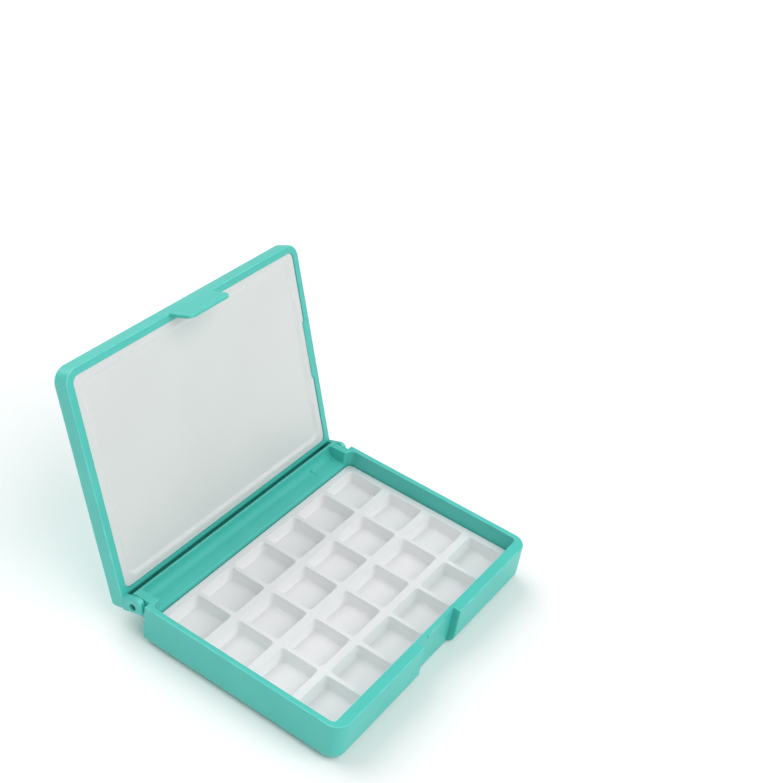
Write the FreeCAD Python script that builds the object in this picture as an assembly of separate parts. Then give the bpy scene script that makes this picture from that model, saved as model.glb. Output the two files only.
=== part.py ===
import FreeCAD, Part
import math
import os

# Folding paint palette: a hinged case with a lift-out tray of wells in the base
# and a mixing plate snapped into the lid.
# Millimetres. The origin is the centre of the case on the face it rests on.
# +X runs along the hinge, +Y from the latch to the hinge, +Z up.
# The lid is built shut on the base, then swung open about the hinge axis.

Vec = FreeCAD.Vector
TOL = 1e-4
OVERSHOOT = 1.0

# Case
CASE_LENGTH = 140.0
CASE_WIDTH = 103.5
BASE_HEIGHT = 19.6
FRONT_CORNER_R = 6.5
HINGE_CORNER_R = 2.5
RIM_EDGE_R = 0.7

# Base
BASE_BACK_Y = 42.6
BASE_FLOOR = 2.0
BASE_FOOT_R = 5.0
BASE_BACK_FOOT_R = 3.0
BASE_BACK_FOOT_SINK = 0.1
BACK_OUTLINE_R = 0.6
BLANK_EXTRA = 20.0
BLANK_CORNER_R = 1.0
BAY_HALF_X = 67.4
BAY_FRONT_Y = -46.8
BAY_BACK_Y = 40.9
BAY_FRONT_CORNER_R = 1.8
BAY_BACK_CORNER_R = 2.6
BAY_EDGE_R = 0.5

# Hinge shelf and its trough
HINGE_Y = 48.6
HINGE_Z = 14.95
KNUCKLE_R = 4.3
SHELF_HALF_X = 66.9
SHELF_BOTTOM_Z = 9.8
TROUGH_HALF_X = 63.1
TROUGH_BACK_Y = 50.0
TROUGH_FLOOR_Z = 13.6
TROUGH_LIP_R = 0.8
TROUGH_BACK_R = 3.0
TROUGH_END_R = 0.5
POST_R = 0.8
POST_FOOT_GAP = 0.05
POST_FOOT_Z = TROUGH_FLOOR_Z + TROUGH_END_R + POST_FOOT_GAP
GATE_MARK = (48.5, 48.5)
GATE_MARK_R = 1.1
GATE_MARK_H = 0.8
GATE_MARK_EDGE_R = 0.35
EJECTOR_MARK = (48.0, 45.6)
EJECTOR_MARK_R = 0.55
EJECTOR_MARK_H = 0.3
MARK_ROOT = 0.3

# Latch
NOTCH_HALF_X = 13.2
NOTCH_BACK_Y = -48.5
NOTCH_EDGE_R = 0.5
TAB_HALF_X = 12.3
TAB_DROP = 11.3
TAB_ROOT = 1.0
TAB_THICKNESS = 1.4
TAB_CORNER_R = 2.8
TAB_EDGE_R = 0.45
BASE_BEAD_Z = 17.5
BASE_BEAD_R = 0.9
BASE_BEAD_PROUD = 0.4
TAB_BEAD_Z = 15.9
TAB_BEAD_R = 1.2
BEAD_HALF_X = 6.0

# Lid
RIM_GAP = 0.1
LID_RIM_Z = BASE_HEIGHT + RIM_GAP
LID_WALL_H = 7.0
LID_HEIGHT = 9.6
LID_DRAFT = 0.3
LID_BEVEL = 5.6
LID_TOP_CORNER_R = 1.6
LID_SHOULDER_R = 1.6
LID_CREASE_R = 1.0
LID_RIM_R = 0.8
SEAT_HALF_X = 66.4
SEAT_FRONT_Y = -48.4
SEAT_BACK_Y = 43.5
SEAT_DEPTH = 1.75
SEAT_LEDGE = 1.4
SEAT_CORNER_R = 3.0
LID_CAVITY_DEPTH = 7.4
CHANNEL_FRONT_Y = 45.2
CHANNEL_BACK_Y = 49.9
CHANNEL_DEPTH = 4.5
SNAP_RIB_Y0 = -15.8
SNAP_RIB_Y1 = 11.4
SNAP_RIB_DEPTH = 1.1
SNAP_RIB_HEIGHT = 0.35
SNAP_RIB_ROOT = 0.5
OPEN_ANGLE = 109.2

# Ears on the lid and the hinge pins
EAR_INNER_X = 67.2
EAR_OUTER_X = 69.7
EAR_FRONT_Y = 44.6
EAR_DROP = 9.3
EAR_NOSE_R = 2.4
EAR_HEEL_R = 2.0
EAR_EDGE_R = 1.0
EAR_ROOT = 1.0
EAR_BORE_R = 1.56
PIN_R = 1.5
PIN_BORE_R = 1.51
PIN_INNER_X = 63.55
PIN_BORE_END_X = 63.5
PIN_OUTER_X = 68.6
PIN_CHAMFER = 0.2

# Well tray
TRAY_TOP_Z = 11.5
TRAY_GAP = 0.25
TRAY_FOOT_GAP = 0.05
TRAY_WALL = 1.1
TRAY_EDGE_R = 0.5
TRAY_DECK = 0.6
WELL_COLUMNS = 6
WELL_ROWS = 4
WELL_PITCH = 21.5
WELL_SIZE_X = 19.4
WELL_SIZE_Y = 18.0
WELL_DEPTH = 6.0
WELL_DRAFT = 0.7
WELL_CORNER_R = 1.6
WELL_FLOOR_R = 0.7
WELL_MOUTH_R = 0.3
WELL_FIRST_Y = -36.3

# Mixing plate
PLATE_GAP = 0.1
PLATE_RECESS = 0.4
PLATE_THICKNESS = 1.3
PLATE_EDGE_R = 0.3
PLATE_FLANGE = 3.0
DISH_DEPTH = 0.9
DISH_SLOPE = 1.6
DISH_CORNER_R = 5.0
DISH_SOFT_R = 2.0
BOSS_MARGIN = 0.6
BOSS_ROOT = 0.5
BOSS_EDGE_R = 1.0


def plan_wire(x0, x1, y0, y1, z, front_r, back_r):
    """Closed rectangle in plan at height z with round corners."""
    h = math.sqrt(0.5)
    corners = [
        (x1, y0, -1, 1, front_r),
        (x1, y1, -1, -1, back_r),
        (x0, y1, 1, -1, back_r),
        (x0, y0, 1, 1, front_r),
    ]
    arcs = []
    for index, (cx, cy, sx, sy, r) in enumerate(corners):
        centre = Vec(cx + sx * r, cy + sy * r, z)
        along_y = Vec(cx, cy + sy * r, z)
        along_x = Vec(cx + sx * r, cy, z)
        middle = centre + Vec(-sx * r * h, -sy * r * h, 0)
        ends = (along_x, along_y) if index % 2 == 0 else (along_y, along_x)
        arcs.append((ends[0], middle, ends[1]))
    edges = []
    for index, (first, middle, last) in enumerate(arcs):
        edges.append(Part.Arc(first, middle, last).toShape())
        following = arcs[(index + 1) % len(arcs)][0]
        edges.append(Part.makeLine(last, following))
    return Part.Wire(edges)


def plan_block(x0, x1, y0, y1, z0, z1, front_r, back_r):
    """Upright block with round corners in plan."""
    face = Part.Face(plan_wire(x0, x1, y0, y1, z0, front_r, back_r))
    return face.extrude(Vec(0, 0, z1 - z0))


def box(x0, x1, y0, y1, z0, z1):
    return Part.makeBox(x1 - x0, y1 - y0, z1 - z0, Vec(x0, y0, z0))


def x_cylinder(radius, x0, x1, y, z):
    return Part.makeCylinder(radius, x1 - x0, Vec(x0, y, z), Vec(1, 0, 0))


def pick_edges(shape, test):
    return [edge for edge in shape.Edges if test(edge.BoundBox)]


def flat_at(z):
    return lambda b: abs(b.ZMin - z) < TOL and abs(b.ZMax - z) < TOL


def base_shell():
    """Outside of the tray bay, with a soft foot and rim all round but behind."""
    half = CASE_LENGTH / 2
    front = -CASE_WIDTH / 2
    long_back = BASE_BACK_Y + BLANK_EXTRA
    bay = plan_block(
        -half, half, front, long_back, 0, BASE_HEIGHT, FRONT_CORNER_R, BLANK_CORNER_R
    )
    for level, radius in ((0, BASE_FOOT_R), (BASE_HEIGHT, RIM_EDGE_R)):
        seen = pick_edges(bay, lambda b: flat_at(level)(b) and b.YMin < long_back - OVERSHOOT)
        bay = bay.makeFillet(radius, seen)
    keep = box(
        -half - OVERSHOOT,
        half + OVERSHOOT,
        front - OVERSHOOT,
        BASE_BACK_Y,
        -OVERSHOOT,
        BASE_HEIGHT + OVERSHOOT,
    )
    bay = bay.common(keep)
    behind = pick_edges(bay, lambda b: b.YMin > BASE_BACK_Y - TOL)
    bay = bay.makeFillet(BACK_OUTLINE_R, behind)
    return bay.cut(heel_cutter())


def heel_cutter():
    """What the rounded lower back edge of the base takes away."""
    x0 = -CASE_LENGTH / 2 - OVERSHOOT
    behind_y = BASE_BACK_Y + OVERSHOOT
    centre_y = BASE_BACK_Y - BASE_BACK_FOOT_R
    centre_z = BASE_BACK_FOOT_R - BASE_BACK_FOOT_SINK
    low_y = centre_y + math.sqrt(BASE_BACK_FOOT_R ** 2 - centre_z ** 2)
    half_angle = 0.5 * math.atan2(centre_z, low_y - centre_y)
    middle = Vec(
        x0,
        centre_y + BASE_BACK_FOOT_R * math.cos(half_angle),
        centre_z - BASE_BACK_FOOT_R * math.sin(half_angle),
    )
    low = Vec(x0, low_y, 0)
    high = Vec(x0, BASE_BACK_Y, centre_z)
    outside = [
        high,
        Vec(x0, behind_y, centre_z),
        Vec(x0, behind_y, -OVERSHOOT),
        Vec(x0, low_y, -OVERSHOOT),
        low,
    ]
    arc = Part.Arc(low, middle, high).toShape()
    wire = Part.Wire([arc] + Part.makePolygon(outside).Edges)
    return Part.Face(wire).extrude(Vec(CASE_LENGTH + 2 * OVERSHOOT, 0, 0))


def hinge_shelf():
    """Shelf behind the bay, as long as the gap between the lid's ears."""
    back = CASE_WIDTH / 2
    rise = math.sqrt(KNUCKLE_R ** 2 - (back - HINGE_Y) ** 2)
    start = Vec(-SHELF_HALF_X, back, HINGE_Z + rise)
    crown = Vec(-SHELF_HALF_X, HINGE_Y, HINGE_Z + KNUCKLE_R)
    angle = 0.5 * (math.atan2(rise, back - HINGE_Y) + math.pi / 2)
    middle = Vec(
        -SHELF_HALF_X,
        HINGE_Y + KNUCKLE_R * math.cos(angle),
        HINGE_Z + KNUCKLE_R * math.sin(angle),
    )
    inside_y = BAY_BACK_Y - OVERSHOOT
    bottom_front = Vec(-SHELF_HALF_X, inside_y, SHELF_BOTTOM_Z)
    bottom_back = Vec(-SHELF_HALF_X, back, SHELF_BOTTOM_Z)
    top_back = Vec(-SHELF_HALF_X, BASE_BACK_Y - RIM_EDGE_R, BASE_HEIGHT)
    top_front = Vec(-SHELF_HALF_X, inside_y, BASE_HEIGHT)
    edges = [
        Part.makeLine(bottom_front, bottom_back),
        Part.makeLine(bottom_back, start),
        Part.Arc(start, middle, crown).toShape(),
        Part.makeLine(crown, top_back),
        Part.makeLine(top_back, top_front),
        Part.makeLine(top_front, bottom_front),
    ]
    return Part.Face(Part.Wire(edges)).extrude(Vec(2 * SHELF_HALF_X, 0, 0))


def trough_cutter():
    """Trough open to the bay, with a scooped back and crisp ends."""
    block = box(
        -TROUGH_HALF_X,
        TROUGH_HALF_X,
        BAY_BACK_Y - OVERSHOOT,
        TROUGH_BACK_Y,
        TROUGH_FLOOR_Z,
        BASE_HEIGHT + OVERSHOOT,
    )
    scoop = pick_edges(block, lambda b: flat_at(TROUGH_FLOOR_Z)(b) and b.YMin > TROUGH_BACK_Y - TOL)
    block = block.makeFillet(TROUGH_BACK_R, scoop)
    ends = pick_edges(
        block, lambda b: b.XLength < TOL and b.ZMin < BASE_HEIGHT and b.YMax > BAY_BACK_Y
    )
    return block.makeFillet(TROUGH_END_R, ends)


def lip_cutter():
    """What the rounded front edge of the trough floor takes away."""
    block = box(
        -TROUGH_HALF_X,
        TROUGH_HALF_X,
        BAY_BACK_Y,
        BAY_BACK_Y + 2 * TROUGH_LIP_R,
        TROUGH_FLOOR_Z - 2 * TROUGH_LIP_R,
        TROUGH_FLOOR_Z,
    )
    lip = pick_edges(block, lambda b: flat_at(TROUGH_FLOOR_Z)(b) and b.YMax < BAY_BACK_Y + TOL)
    return block.cut(block.makeFillet(TROUGH_LIP_R, lip))


def post_cutter(side):
    """What rounding the upright corner between trough and bay takes away."""
    x0, x1 = sorted((side * TROUGH_HALF_X, side * (TROUGH_HALF_X + POST_R)))
    top = BASE_HEIGHT + OVERSHOOT
    corner = box(x0, x1, BAY_BACK_Y, BAY_BACK_Y + POST_R, POST_FOOT_Z, top)
    centre = Vec(side * (TROUGH_HALF_X + POST_R), BAY_BACK_Y + POST_R, POST_FOOT_Z - OVERSHOOT)
    return corner.cut(Part.makeCylinder(POST_R, top - POST_FOOT_Z + 2 * OVERSHOOT, centre))


def mould_mark(centre, radius, height):
    """Low round mark on the trough floor."""
    foot = Vec(centre[0], centre[1], TROUGH_FLOOR_Z - MARK_ROOT)
    return Part.makeCylinder(radius, MARK_ROOT + height, foot)


def build_base():
    bay = plan_block(
        -BAY_HALF_X,
        BAY_HALF_X,
        BAY_FRONT_Y,
        BAY_BACK_Y,
        BASE_FLOOR,
        BASE_HEIGHT + OVERSHOOT,
        BAY_FRONT_CORNER_R,
        BAY_BACK_CORNER_R,
    )
    notch = box(
        -NOTCH_HALF_X,
        NOTCH_HALF_X,
        -CASE_WIDTH / 2 - OVERSHOOT,
        NOTCH_BACK_Y,
        -OVERSHOOT,
        BASE_HEIGHT + OVERSHOOT,
    )
    base = base_shell().fuse(hinge_shelf()).removeSplitter()
    base = base.cut(bay).cut(trough_cutter()).cut(lip_cutter()).cut(notch)
    base = base.makeFillet(NOTCH_EDGE_R, pick_edges(base, notch_cheek_edge))
    bead_y = NOTCH_BACK_Y + BASE_BEAD_R - BASE_BEAD_PROUD
    bead = x_cylinder(BASE_BEAD_R, -BEAD_HALF_X, BEAD_HALF_X, bead_y, BASE_BEAD_Z)
    gate = mould_mark(GATE_MARK, GATE_MARK_R, GATE_MARK_H)
    gate_top = pick_edges(gate, flat_at(TROUGH_FLOOR_Z + GATE_MARK_H))
    gate = gate.makeFillet(GATE_MARK_EDGE_R, gate_top)
    ejector = mould_mark(EJECTOR_MARK, EJECTOR_MARK_R, EJECTOR_MARK_H)
    base = base.fuse([bead, gate, ejector])
    for side in (-1, 1):
        x0, x1 = sorted((side * PIN_BORE_END_X, side * (SHELF_HALF_X + OVERSHOOT)))
        base = base.cut(x_cylinder(PIN_BORE_R, x0, x1, HINGE_Y, HINGE_Z))
    base = base.makeFillet(BAY_EDGE_R, pick_edges(base, inner_rim_edge))
    return base.cut([post_cutter(-1), post_cutter(1)])


def notch_cheek_edge(b):
    """Edges where the front wall turns into the two ends of the latch notch."""
    at_end = b.XLength < TOL and abs(abs(b.XMin) - NOTCH_HALF_X) < TOL
    return at_end and b.YMax < NOTCH_BACK_Y - NOTCH_EDGE_R


def inner_rim_edge(b):
    """Edges round the mouth of the bay, in front of the hinge shelf."""
    level = flat_at(BASE_HEIGHT)(b)
    inside_x = max(abs(b.XMin), abs(b.XMax)) < BAY_HALF_X + TOL
    inside_y = b.YMin > BAY_FRONT_Y - TOL and b.YMax < BAY_BACK_Y + TOL
    return level and inside_x and inside_y


def lid_outside():
    """Outside of the lid: drafted walls, wide soft bevel and a flat top."""
    half = CASE_LENGTH / 2
    depth = CASE_WIDTH / 2
    levels = [
        (0.0, 0.0, FRONT_CORNER_R, HINGE_CORNER_R),
        (LID_WALL_H, LID_DRAFT, FRONT_CORNER_R - LID_DRAFT, HINGE_CORNER_R - LID_DRAFT),
        (LID_HEIGHT, LID_BEVEL, LID_TOP_CORNER_R, LID_TOP_CORNER_R),
    ]
    wires = []
    for height, inset, front_r, back_r in levels:
        wires.append(
            plan_wire(
                -half + inset,
                half - inset,
                -depth + inset,
                depth - inset,
                LID_RIM_Z + height,
                front_r,
                back_r,
            )
        )
    walls = Part.makeLoft(wires[:2], True, True)
    bevel = Part.makeLoft(wires[1:], True, True)
    lid = walls.fuse(bevel).removeSplitter()
    for height, radius in ((LID_WALL_H, LID_SHOULDER_R), (LID_HEIGHT, LID_CREASE_R), (0, LID_RIM_R)):
        lid = lid.makeFillet(radius, pick_edges(lid, flat_at(LID_RIM_Z + height)))
    return lid


def ear(side):
    """Ear that hangs from a back corner of the lid and turns on the pin."""
    back = CASE_WIDTH / 2
    bottom = LID_RIM_Z - EAR_DROP
    top = LID_RIM_Z + EAR_ROOT
    x0, x1 = sorted((side * EAR_INNER_X, side * EAR_OUTER_X))
    block = box(x0, x1, EAR_FRONT_Y, back, bottom, top)
    nose = pick_edges(block, lambda b: flat_at(bottom)(b) and b.YMax < EAR_FRONT_Y + TOL)
    block = block.makeFillet(EAR_NOSE_R, nose)
    heel = pick_edges(block, lambda b: flat_at(bottom)(b) and b.YMin > back - TOL)
    block = block.makeFillet(EAR_HEEL_R, heel)
    x = side * EAR_OUTER_X
    face_edges = pick_edges(
        block, lambda b: abs(b.XMin - x) < TOL and abs(b.XMax - x) < TOL and b.ZMin < top - TOL
    )
    return block.makeFillet(EAR_EDGE_R, face_edges)


def latch_tab():
    """Tab that hangs in the notch, with a half-round bead on its inner face."""
    front = -CASE_WIDTH / 2
    back = front + TAB_THICKNESS
    bottom = LID_RIM_Z - TAB_DROP
    top = LID_RIM_Z + TAB_ROOT
    block = box(-TAB_HALF_X, TAB_HALF_X, front, back, bottom, top)
    corners = pick_edges(block, lambda b: flat_at(bottom)(b) and b.YLength > TOL)
    block = block.makeFillet(TAB_CORNER_R, corners)
    outer = pick_edges(block, lambda b: b.YMax < front + TOL and b.ZMin < LID_RIM_Z)
    block = block.makeFillet(TAB_EDGE_R, outer)
    return block.fuse(x_cylinder(TAB_BEAD_R, -BEAD_HALF_X, BEAD_HALF_X, back, TAB_BEAD_Z))


def build_lid():
    lid = lid_outside()
    seat = plan_block(
        -SEAT_HALF_X,
        SEAT_HALF_X,
        SEAT_FRONT_Y,
        SEAT_BACK_Y,
        LID_RIM_Z - OVERSHOOT,
        LID_RIM_Z + SEAT_DEPTH,
        SEAT_CORNER_R,
        SEAT_CORNER_R,
    )
    cavity = plan_block(
        -SEAT_HALF_X + SEAT_LEDGE,
        SEAT_HALF_X - SEAT_LEDGE,
        SEAT_FRONT_Y + SEAT_LEDGE,
        SEAT_BACK_Y - SEAT_LEDGE,
        LID_RIM_Z - OVERSHOOT,
        LID_RIM_Z + LID_CAVITY_DEPTH,
        SEAT_CORNER_R,
        SEAT_CORNER_R,
    )
    channel = box(
        -SHELF_HALF_X,
        SHELF_HALF_X,
        CHANNEL_FRONT_Y,
        CHANNEL_BACK_Y,
        LID_RIM_Z - OVERSHOOT,
        LID_RIM_Z + CHANNEL_DEPTH,
    )
    lid = lid.cut(seat).cut(cavity).cut(channel)
    snap_rib = box(
        SEAT_HALF_X - SNAP_RIB_DEPTH,
        SEAT_HALF_X + SNAP_RIB_ROOT,
        SNAP_RIB_Y0,
        SNAP_RIB_Y1,
        LID_RIM_Z,
        LID_RIM_Z + SNAP_RIB_HEIGHT,
    )
    for addition in (snap_rib, ear(-1), ear(1), latch_tab()):
        lid = lid.fuse(addition)
    lid = lid.removeSplitter()
    for side in (-1, 1):
        inner = side * (EAR_INNER_X - OVERSHOOT)
        x0, x1 = sorted((inner, side * (EAR_OUTER_X + OVERSHOOT)))
        lid = lid.cut(x_cylinder(EAR_BORE_R, x0, x1, HINGE_Y, HINGE_Z))
    return lid


def build_pins():
    pins = []
    for side in (-1, 1):
        x0, x1 = sorted((side * PIN_INNER_X, side * PIN_OUTER_X))
        pin = x_cylinder(PIN_R, x0, x1, HINGE_Y, HINGE_Z)
        ends = pick_edges(pin, lambda b: b.XLength < TOL)
        pins.append(pin.makeChamfer(PIN_CHAMFER, ends))
    return Part.makeCompound(pins)


def well_solid(grow):
    """One well, centred on the origin with its mouth at z = 0."""
    half_x = WELL_SIZE_X / 2 + grow
    half_y = WELL_SIZE_Y / 2 + grow
    depth = WELL_DEPTH + grow
    low_x = half_x - WELL_DRAFT
    low_y = half_y - WELL_DRAFT
    well = Part.makeWedge(
        -low_x, 0, -low_y, -half_y, -half_x, low_x, depth, low_y, half_y, half_x
    )
    well.rotate(Vec(0, 0, 0), Vec(1, 0, 0), 90)
    well.translate(Vec(0, 0, -depth))
    upright = pick_edges(well, lambda b: b.ZLength > depth / 2)
    well = well.makeFillet(WELL_CORNER_R + grow, upright)
    return well.makeFillet(WELL_FLOOR_R + grow / 2, pick_edges(well, flat_at(-depth)))


def build_tray():
    x1 = BAY_HALF_X - TRAY_GAP
    y0 = BAY_FRONT_Y + TRAY_GAP
    y1 = BAY_BACK_Y - TRAY_GAP
    foot = BASE_FLOOR + TRAY_FOOT_GAP
    front_r = BAY_FRONT_CORNER_R
    back_r = BAY_BACK_CORNER_R
    tray = plan_block(-x1, x1, y0, y1, foot, TRAY_TOP_Z, front_r, back_r)
    tray = tray.makeFillet(TRAY_EDGE_R, pick_edges(tray, flat_at(TRAY_TOP_Z)))
    hollow = plan_block(
        -x1 + TRAY_WALL,
        x1 - TRAY_WALL,
        y0 + TRAY_WALL,
        y1 - TRAY_WALL,
        foot - OVERSHOOT,
        TRAY_TOP_Z - TRAY_WALL,
        back_r - TRAY_WALL,
        back_r - TRAY_WALL,
    )
    tray = tray.cut(hollow)
    half = WELL_PITCH / 2 + OVERSHOOT
    cups = []
    wells = []
    for row in range(WELL_ROWS):
        for column in range(WELL_COLUMNS):
            x = (column - (WELL_COLUMNS - 1) / 2) * WELL_PITCH
            y = WELL_FIRST_Y + row * WELL_PITCH
            place = Vec(x, y, TRAY_TOP_Z)
            below = box(x - half, x + half, y - half, y + half, foot, TRAY_TOP_Z - TRAY_DECK)
            cup = well_solid(TRAY_WALL)
            cup.translate(place)
            cups.append(cup.common(below))
            well = well_solid(0)
            well.translate(place)
            wells.append(well)
    tray = tray.fuse(cups).cut(wells).removeSplitter()
    inset = TRAY_EDGE_R + TOL
    mouths = pick_edges(
        tray, lambda b: flat_at(TRAY_TOP_Z)(b) and b.XMin > inset - x1 and b.XMax < x1 - inset
        and b.YMin > y0 + inset and b.YMax < y1 - inset
    )
    return tray.makeFillet(WELL_MOUTH_R, mouths)


def build_plate():
    """Shallow dish with a flange, seen from below while the lid is shut."""
    x1 = SEAT_HALF_X - PLATE_GAP
    y0 = SEAT_FRONT_Y + PLATE_GAP
    y1 = SEAT_BACK_Y - PLATE_GAP
    face = LID_RIM_Z + PLATE_RECESS
    back = face + PLATE_THICKNESS
    corner = SEAT_CORNER_R - PLATE_GAP
    plate = plan_block(-x1, x1, y0, y1, face, back, corner, corner)
    plate = plate.makeFillet(PLATE_EDGE_R, pick_edges(plate, flat_at(face)))
    dish_x = x1 - PLATE_FLANGE
    dish_y0 = y0 + PLATE_FLANGE
    dish_y1 = y1 - PLATE_FLANGE
    boss = plan_block(
        -dish_x - BOSS_MARGIN,
        dish_x + BOSS_MARGIN,
        dish_y0 - BOSS_MARGIN,
        dish_y1 + BOSS_MARGIN,
        back - BOSS_ROOT,
        back + DISH_DEPTH,
        DISH_CORNER_R,
        DISH_CORNER_R,
    )
    boss = boss.makeFillet(BOSS_EDGE_R, pick_edges(boss, flat_at(back + DISH_DEPTH)))
    floor_x = dish_x - DISH_SLOPE
    floor_r = DISH_CORNER_R - DISH_SLOPE
    rings = [
        plan_wire(-dish_x, dish_x, dish_y0, dish_y1, face, DISH_CORNER_R, DISH_CORNER_R),
        plan_wire(
            -floor_x,
            floor_x,
            dish_y0 + DISH_SLOPE,
            dish_y1 - DISH_SLOPE,
            face + DISH_DEPTH,
            floor_r,
            floor_r,
        ),
    ]
    dish = Part.makeLoft(rings, True, True)
    dish = dish.makeFillet(DISH_SOFT_R, pick_edges(dish, flat_at(face + DISH_DEPTH)))
    plate = plate.fuse(boss).cut(dish).removeSplitter()
    mouth = pick_edges(
        plate, lambda b: flat_at(face)(b) and b.XMax < dish_x + TOL and b.XMin > -dish_x - TOL
        and b.YMax < dish_y1 + TOL and b.YMin > dish_y0 - TOL
    )
    return plate.makeFillet(DISH_SOFT_R, mouth)


def opened(shape):
    """Swing a shut lid part back about the hinge axis to its open stop."""
    turned = shape.copy()
    turned.rotate(Vec(0, HINGE_Y, HINGE_Z), Vec(1, 0, 0), -OPEN_ANGLE)
    return turned


os.makedirs("parts", exist_ok=True)

nodes = {
    "base_case": build_base(),
    "lid_shell": opened(build_lid()),
    "well_tray": build_tray(),
    "mixing_plate": opened(build_plate()),
    "hinge_pins": build_pins(),
}

for name, shape in nodes.items():
    shape.exportStep("parts/" + name + ".step")
    solids = len(shape.Solids)
    volume = shape.Volume / 1000
    print(f"{name}: {solids} solid(s), {volume:.2f} cm3, valid {shape.isValid()}")
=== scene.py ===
import bpy
import math
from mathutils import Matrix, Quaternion, Vector

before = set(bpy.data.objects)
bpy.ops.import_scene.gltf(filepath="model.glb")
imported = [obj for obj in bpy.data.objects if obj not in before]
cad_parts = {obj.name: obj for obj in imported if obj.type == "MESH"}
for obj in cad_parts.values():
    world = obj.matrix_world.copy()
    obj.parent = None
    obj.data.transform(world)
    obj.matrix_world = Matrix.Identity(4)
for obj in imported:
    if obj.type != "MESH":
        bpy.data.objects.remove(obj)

# Looks of the folding paint palette, in metres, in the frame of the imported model.

# Camera: where it stands, where it looks and how its frame is tilted
CAMERA_AZIMUTH = -61.011
CAMERA_ELEVATION = 36.759
CAMERA_TILT = 7.701
CAMERA_PLACE = (-0.36449, -0.20335, 0.40537)
CAMERA_LENS = 63.404
CAMERA_SHIFT = (0.0338, 0.0428)
CAMERA_CLIP = (0.01, 50.0)

# Floor, just clear of the object's foot
FLOOR_HALF = 6.0
FLOOR_DROP = 0.00005
FLOOR_TONES = ((0.96, 0.96, 0.96), (0.95, 0.95, 0.95))
FLOOR_PATCHES = 3.0
FLOOR_SPAN = (0.3, 0.7)
FLOOR_ROUGHNESS = 0.9

# Lights: the room, then for each soft box its name, the light it gives, the side
# that it shines from and how many degrees wide it looks
WORLD_STRENGTH = 0.32
SOFTBOXES = (
    ("latch_side", 0.48, (0.0, -1.0, 1.0), 60.0),
    ("hinge_side", 0.61, (0.0, 1.0, 1.0), 60.0),
    ("left", 0.03, (-1.0, -0.1, 1.0), 60.0),
    ("right", 0.08, (1.0, -0.3, 1.0), 60.0),
)

# Directions that the rims face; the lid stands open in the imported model
LID_ANGLE = 109.2
OPEN = math.radians(LID_ANGLE)
UP = (0.0, 0.0, 1.0)
LID_FACING = (0.0, -math.sin(OPEN), -math.cos(OPEN))
PIN_FACING = (1.0, 0.0, 0.0)

# Colours: each material has a main tone, a second tone that it drifts to at random, and a paler
# tone for its edge rounds, which on the plastics is a painted highlight
TEAL = (0.078, 0.57, 0.50)
TEAL_DEEP = (0.070, 0.54, 0.47)
TEAL_EDGE_HIGHLIGHT = (0.15, 0.69, 0.61)
WHITE = (0.79, 0.80, 0.81)
WHITE_SHADE = (0.765, 0.775, 0.785)
WHITE_EDGE_HIGHLIGHT = (0.82, 0.835, 0.845)
# painted light: upright tray walls are drawn towards this paler tone in place of their shade
WHITE_WALL_PAINTED_LIGHT = (0.87, 0.875, 0.875)
PLATE = (0.72, 0.75, 0.74)
PLATE_SHADE = (0.70, 0.73, 0.72)
PLATE_EDGE_HIGHLIGHT = (0.78, 0.80, 0.795)
# the steel tones are darkened as painted shade of the bore that the pin sits in
STEEL_IN_PAINTED_SHADE = (0.20, 0.20, 0.21)
STEEL_DARK_IN_PAINTED_SHADE = (0.10, 0.10, 0.11)
STEEL_EDGE = (0.34, 0.34, 0.35)
TEALS = (TEAL, TEAL_DEEP, TEAL_EDGE_HIGHLIGHT)
WHITES = (WHITE, WHITE_SHADE, WHITE_EDGE_HIGHLIGHT)
PLATES = (PLATE, PLATE_SHADE, PLATE_EDGE_HIGHLIGHT)

# Surface slopes between which an edge round, or an upright wall, begins and ends
EDGE_RISE = (0.30, 0.60)
EDGE_FALL = (0.99, 0.90)
WALL_SLOPES = (0.75, 0.35)

# Noise in the plastics, as cells a metre, and the part of each noise that counts
DRIFT_CELLS = 28.0
DRIFT_SPAN = (0.35, 0.65)
# This noise breaks up the painted highlight on the edge rounds
HIGHLIGHT_BREAK_CELLS = 160.0
HIGHLIGHT_BREAK_SPAN = (0.38, 0.62)
HIGHLIGHT_BREAK_LEAST = 0.45
SMEAR_CELLS = 55.0
SMEAR_SPAN = (0.3, 0.7)
SMEAR_STRETCH = (1.0, 2.4, 1.6)
WAVE_CELLS = 60.0
RUB_DULLING = 0.05
PLASTIC_IOR = 1.5

# Roughness ranges, and the fine grain of each plastic's skin
CASE_GLOSS = (0.33, 0.40)
TRAY_GLOSS = (0.30, 0.40)
PLATE_GLOSS = (0.40, 0.52)
PIN_GLOSS = (0.32, 0.45)
TEAL_SKIN = {"scale": 2600.0, "grain": 0.25, "strength": 0.25, "depth": 0.00003}
WHITE_SKIN = {"scale": 2200.0, "grain": 0.2, "strength": 0.2, "depth": 0.00006}
PLATE_SKIN = {"scale": 3800.0, "grain": 0.5, "strength": 0.3, "depth": 0.00005}

# Only the base's edges above this height get the painted highlight, over this fade
HIGHLIGHT_ABOVE = 0.0165
HIGHLIGHT_FADE = 0.001

# Drawn wire
WIRE_CELLS = 900.0
WIRE_SPAN = (0.35, 0.65)
WIRE_EDGE_PALING = 0.6
RING_CELLS = 2500.0
RING_STRETCH = (0.2, 1.0, 1.0)
RING_STRENGTH = 0.25
RING_DEPTH = 0.00002


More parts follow.
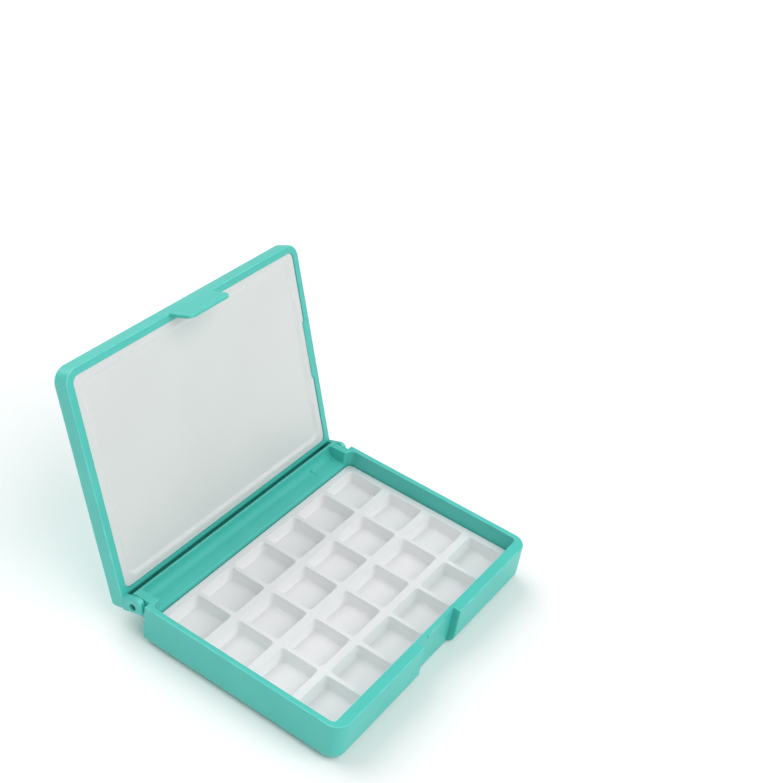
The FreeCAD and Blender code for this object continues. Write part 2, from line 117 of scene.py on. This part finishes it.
class Shader:
    """A node tree being built up, with short calls for the nodes it needs."""

    def __init__(self, name):
        self.material = bpy.data.materials.new(name)
        self.material.use_nodes = True
        self.tree = self.material.node_tree
        self.bsdf = self.tree.nodes["Principled BSDF"]
        self.place = self.add("ShaderNodeTexCoord").outputs["Object"]

    def add(self, kind, **settings):
        node = self.tree.nodes.new(kind)
        for key, value in settings.items():
            setattr(node, key, value)
        return node

    def feed(self, source, socket):
        if hasattr(source, "is_output"):
            self.tree.links.new(source, socket)
        else:
            socket.default_value = source

    def noise(self, scale, detail=3.0, roughness=0.5, stretch=None):
        """Noise with about scale cells a metre, from 0 to 1."""
        place = self.place
        if stretch:
            mapping = self.add("ShaderNodeMapping")
            mapping.inputs["Scale"].default_value = stretch
            self.feed(place, mapping.inputs["Vector"])
            place = mapping.outputs["Vector"]
        node = self.add("ShaderNodeTexNoise")
        self.feed(place, node.inputs["Vector"])
        node.inputs["Scale"].default_value = scale
        node.inputs["Detail"].default_value = detail
        node.inputs["Roughness"].default_value = roughness
        return node.outputs["Fac"]

    def remap(self, value, low, high, to_low=0.0, to_high=1.0):
        node = self.add("ShaderNodeMapRange", clamp=True)
        for name, amount in (
            ("From Min", low),
            ("From Max", high),
            ("To Min", to_low),
            ("To Max", to_high),
        ):
            node.inputs[name].default_value = amount
        self.feed(value, node.inputs["Value"])
        return node.outputs["Result"]

    def math(self, operation, a, b):
        node = self.add("ShaderNodeMath", operation=operation)
        self.feed(a, node.inputs[0])
        self.feed(b, node.inputs[1])
        return node.outputs["Value"]

    def blend(self, factor, a, b):
        node = self.add("ShaderNodeMix", data_type="RGBA")
        self.feed(factor, node.inputs[0])
        for source, socket in ((a, node.inputs[6]), (b, node.inputs[7])):
            self.feed(source if hasattr(source, "is_output") else (*source, 1.0), socket)
        return node.outputs[2]

    def facing(self, axis):
        """How squarely the surface looks along axis, in the object's own directions."""
        normal = self.add("ShaderNodeTexCoord").outputs["Normal"]
        node = self.add("ShaderNodeVectorMath", operation="DOT_PRODUCT")
        self.feed(normal, node.inputs[0])
        node.inputs[1].default_value = axis
        return node.outputs["Value"]

    def round_edges(self, axis):
        """Mask that rises to 1 on the edge rounds that lead up to a face which
        looks along axis."""
        slope = self.facing(axis)
        rise = self.remap(slope, *EDGE_RISE)
        fall = self.remap(slope, *EDGE_FALL)
        return self.math("MULTIPLY", rise, fall)

    def bump(self, height, strength, distance):
        node = self.add("ShaderNodeBump")
        node.inputs["Strength"].default_value = strength
        node.inputs["Distance"].default_value = distance
        self.feed(height, node.inputs["Height"])
        self.feed(node.outputs["Normal"], self.bsdf.inputs["Normal"])


def moulded_plastic(name, tones, axis, gloss, skin, wall_painted_light=None, highlight_above=None):
    """Injection-moulded plastic: slow colour drift, a painted highlight of paler
    colour on the edge rounds, fine grain and faint handling marks in the gloss.
    Upright walls are drawn towards the wall colour, if one is given: painted light that lifts
    their shade.
    Only edges above the given height get the painted highlight, if a height is given."""
    colour, shade, edge_highlight = tones
    s = Shader(name)
    edges = s.round_edges(axis)
    if highlight_above:
        height = s.add("ShaderNodeSeparateXYZ")
        s.feed(s.place, height.inputs[0])
        reach = s.remap(height.outputs["Z"], highlight_above, highlight_above + HIGHLIGHT_FADE)
        edges = s.math("MULTIPLY", edges, reach)
    drift = s.remap(s.noise(DRIFT_CELLS, detail=2.0), *DRIFT_SPAN)
    base = s.blend(drift, colour, shade)
    # upright walls drawn paler: painted light that lifts their shade
    if wall_painted_light:
        base = s.blend(s.remap(s.facing(axis), *WALL_SLOPES), base, wall_painted_light)
    # edge rounds are painted paler as a painted highlight, broken up by noise
    highlight_break = s.remap(s.noise(HIGHLIGHT_BREAK_CELLS, detail=3.0), *HIGHLIGHT_BREAK_SPAN, HIGHLIGHT_BREAK_LEAST, 1.0)
    s.feed(s.blend(s.math("MULTIPLY", edges, highlight_break), base, edge_highlight), s.bsdf.inputs["Base Color"])
    smear = s.noise(SMEAR_CELLS, detail=5.0, roughness=0.65, stretch=SMEAR_STRETCH)
    rough = s.remap(smear, *SMEAR_SPAN, *gloss)
    dulled = s.math("MULTIPLY", edges, RUB_DULLING)
    s.feed(s.math("ADD", rough, dulled), s.bsdf.inputs["Roughness"])
    grain = s.noise(skin["scale"], detail=2.0)
    wave = s.noise(WAVE_CELLS, detail=1.0)
    height = s.math("ADD", s.math("MULTIPLY", grain, skin["grain"]), wave)
    s.bump(height, skin["strength"], skin["depth"])
    s.bsdf.inputs["IOR"].default_value = PLASTIC_IOR
    return s.material


def drawn_steel(name):
    """Cut end of drawn steel wire: fine turned rings, and a grey darkened as painted shade of
    the bore it sits in.
    """
    s = Shader(name)
    edges = s.round_edges(PIN_FACING)
    tone = s.remap(s.noise(WIRE_CELLS, detail=4.0), *WIRE_SPAN)
    base = s.blend(tone, STEEL_IN_PAINTED_SHADE, STEEL_DARK_IN_PAINTED_SHADE)
    # the edge rounds at the pin's end are drawn paler
    paled_rounds = s.math("MULTIPLY", edges, WIRE_EDGE_PALING)
    s.feed(s.blend(paled_rounds, base, STEEL_EDGE), s.bsdf.inputs["Base Color"])
    s.feed(s.remap(tone, 0.0, 1.0, *PIN_GLOSS), s.bsdf.inputs["Roughness"])
    s.bsdf.inputs["Metallic"].default_value = 1.0
    s.bump(s.noise(RING_CELLS, stretch=RING_STRETCH), RING_STRENGTH, RING_DEPTH)
    return s.material


def dress(node_name, material):
    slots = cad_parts[node_name].data.materials
    slots.clear()
    slots.append(material)


def build_floor():
    mesh = bpy.data.meshes.new("floor")
    around = ((-1, -1), (1, -1), (1, 1), (-1, 1))
    corners = [(x * FLOOR_HALF, y * FLOOR_HALF, -FLOOR_DROP) for x, y in around]
    mesh.from_pydata(corners, [], [(0, 1, 2, 3)])
    floor = bpy.data.objects.new("floor", mesh)
    bpy.context.scene.collection.objects.link(floor)
    s = Shader("floor_paper")
    tone = s.remap(s.noise(FLOOR_PATCHES, detail=2.0), *FLOOR_SPAN)
    s.feed(s.blend(tone, *FLOOR_TONES), s.bsdf.inputs["Base Color"])
    s.bsdf.inputs["Roughness"].default_value = FLOOR_ROUGHNESS
    mesh.materials.append(s.material)


def build_lights():
    """A white room and a few very broad, distant lights."""
    world = bpy.data.worlds.new("studio")
    world.use_nodes = True
    background = world.node_tree.nodes["Background"]
    background.inputs["Color"].default_value = (1.0, 1.0, 1.0, 1.0)
    background.inputs["Strength"].default_value = WORLD_STRENGTH
    bpy.context.scene.world = world
    for name, irradiance, source, spread in SOFTBOXES:
        data = bpy.data.lights.new(name, "SUN")
        data.energy = irradiance * math.pi
        data.angle = math.radians(spread)
        light = bpy.data.objects.new(name, data)
        light.rotation_mode = "QUATERNION"
        light.rotation_quaternion = (-Vector(source)).to_track_quat("-Z", "Y")
        light.location = Vector(source)
        bpy.context.scene.collection.objects.link(light)


def build_camera():
    data = bpy.data.cameras.new("photo_view")
    data.lens = CAMERA_LENS
    data.shift_x, data.shift_y = CAMERA_SHIFT
    data.clip_start, data.clip_end = CAMERA_CLIP
    camera = bpy.data.objects.new("photo_view", data)
    a = math.radians(CAMERA_AZIMUTH)
    e = math.radians(CAMERA_ELEVATION)
    back = Vector((math.sin(a) * math.cos(e), -math.cos(a) * math.cos(e), math.sin(e)))
    roll = math.asin(math.sin(math.radians(CAMERA_TILT)) / math.cos(e))
    camera.location = CAMERA_PLACE
    camera.rotation_mode = "QUATERNION"
    camera.rotation_quaternion = (-back).to_track_quat("-Z", "Y") @ Quaternion((0, 0, 1), roll)
    bpy.context.scene.collection.objects.link(camera)
    bpy.context.scene.camera = camera


def dress_all():
    case_plastic = moulded_plastic(
        "case_plastic", TEALS, UP, CASE_GLOSS, TEAL_SKIN, highlight_above=HIGHLIGHT_ABOVE
    )
    lid_plastic = moulded_plastic("lid_plastic", TEALS, LID_FACING, CASE_GLOSS, TEAL_SKIN)
    tray_plastic = moulded_plastic(
        "tray_plastic", WHITES, UP, TRAY_GLOSS, WHITE_SKIN, wall_painted_light=WHITE_WALL_PAINTED_LIGHT
    )
    plate_plastic = moulded_plastic("plate_plastic", PLATES, LID_FACING, PLATE_GLOSS, PLATE_SKIN)
    dress("base_case", case_plastic)
    dress("lid_shell", lid_plastic)
    dress("well_tray", tray_plastic)
    dress("mixing_plate", plate_plastic)
    dress("hinge_pins", drawn_steel("pin_steel"))


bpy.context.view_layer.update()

dress_all()
build_floor()
build_lights()
build_camera()
bpy.context.scene.view_settings.view_transform = "Standard"
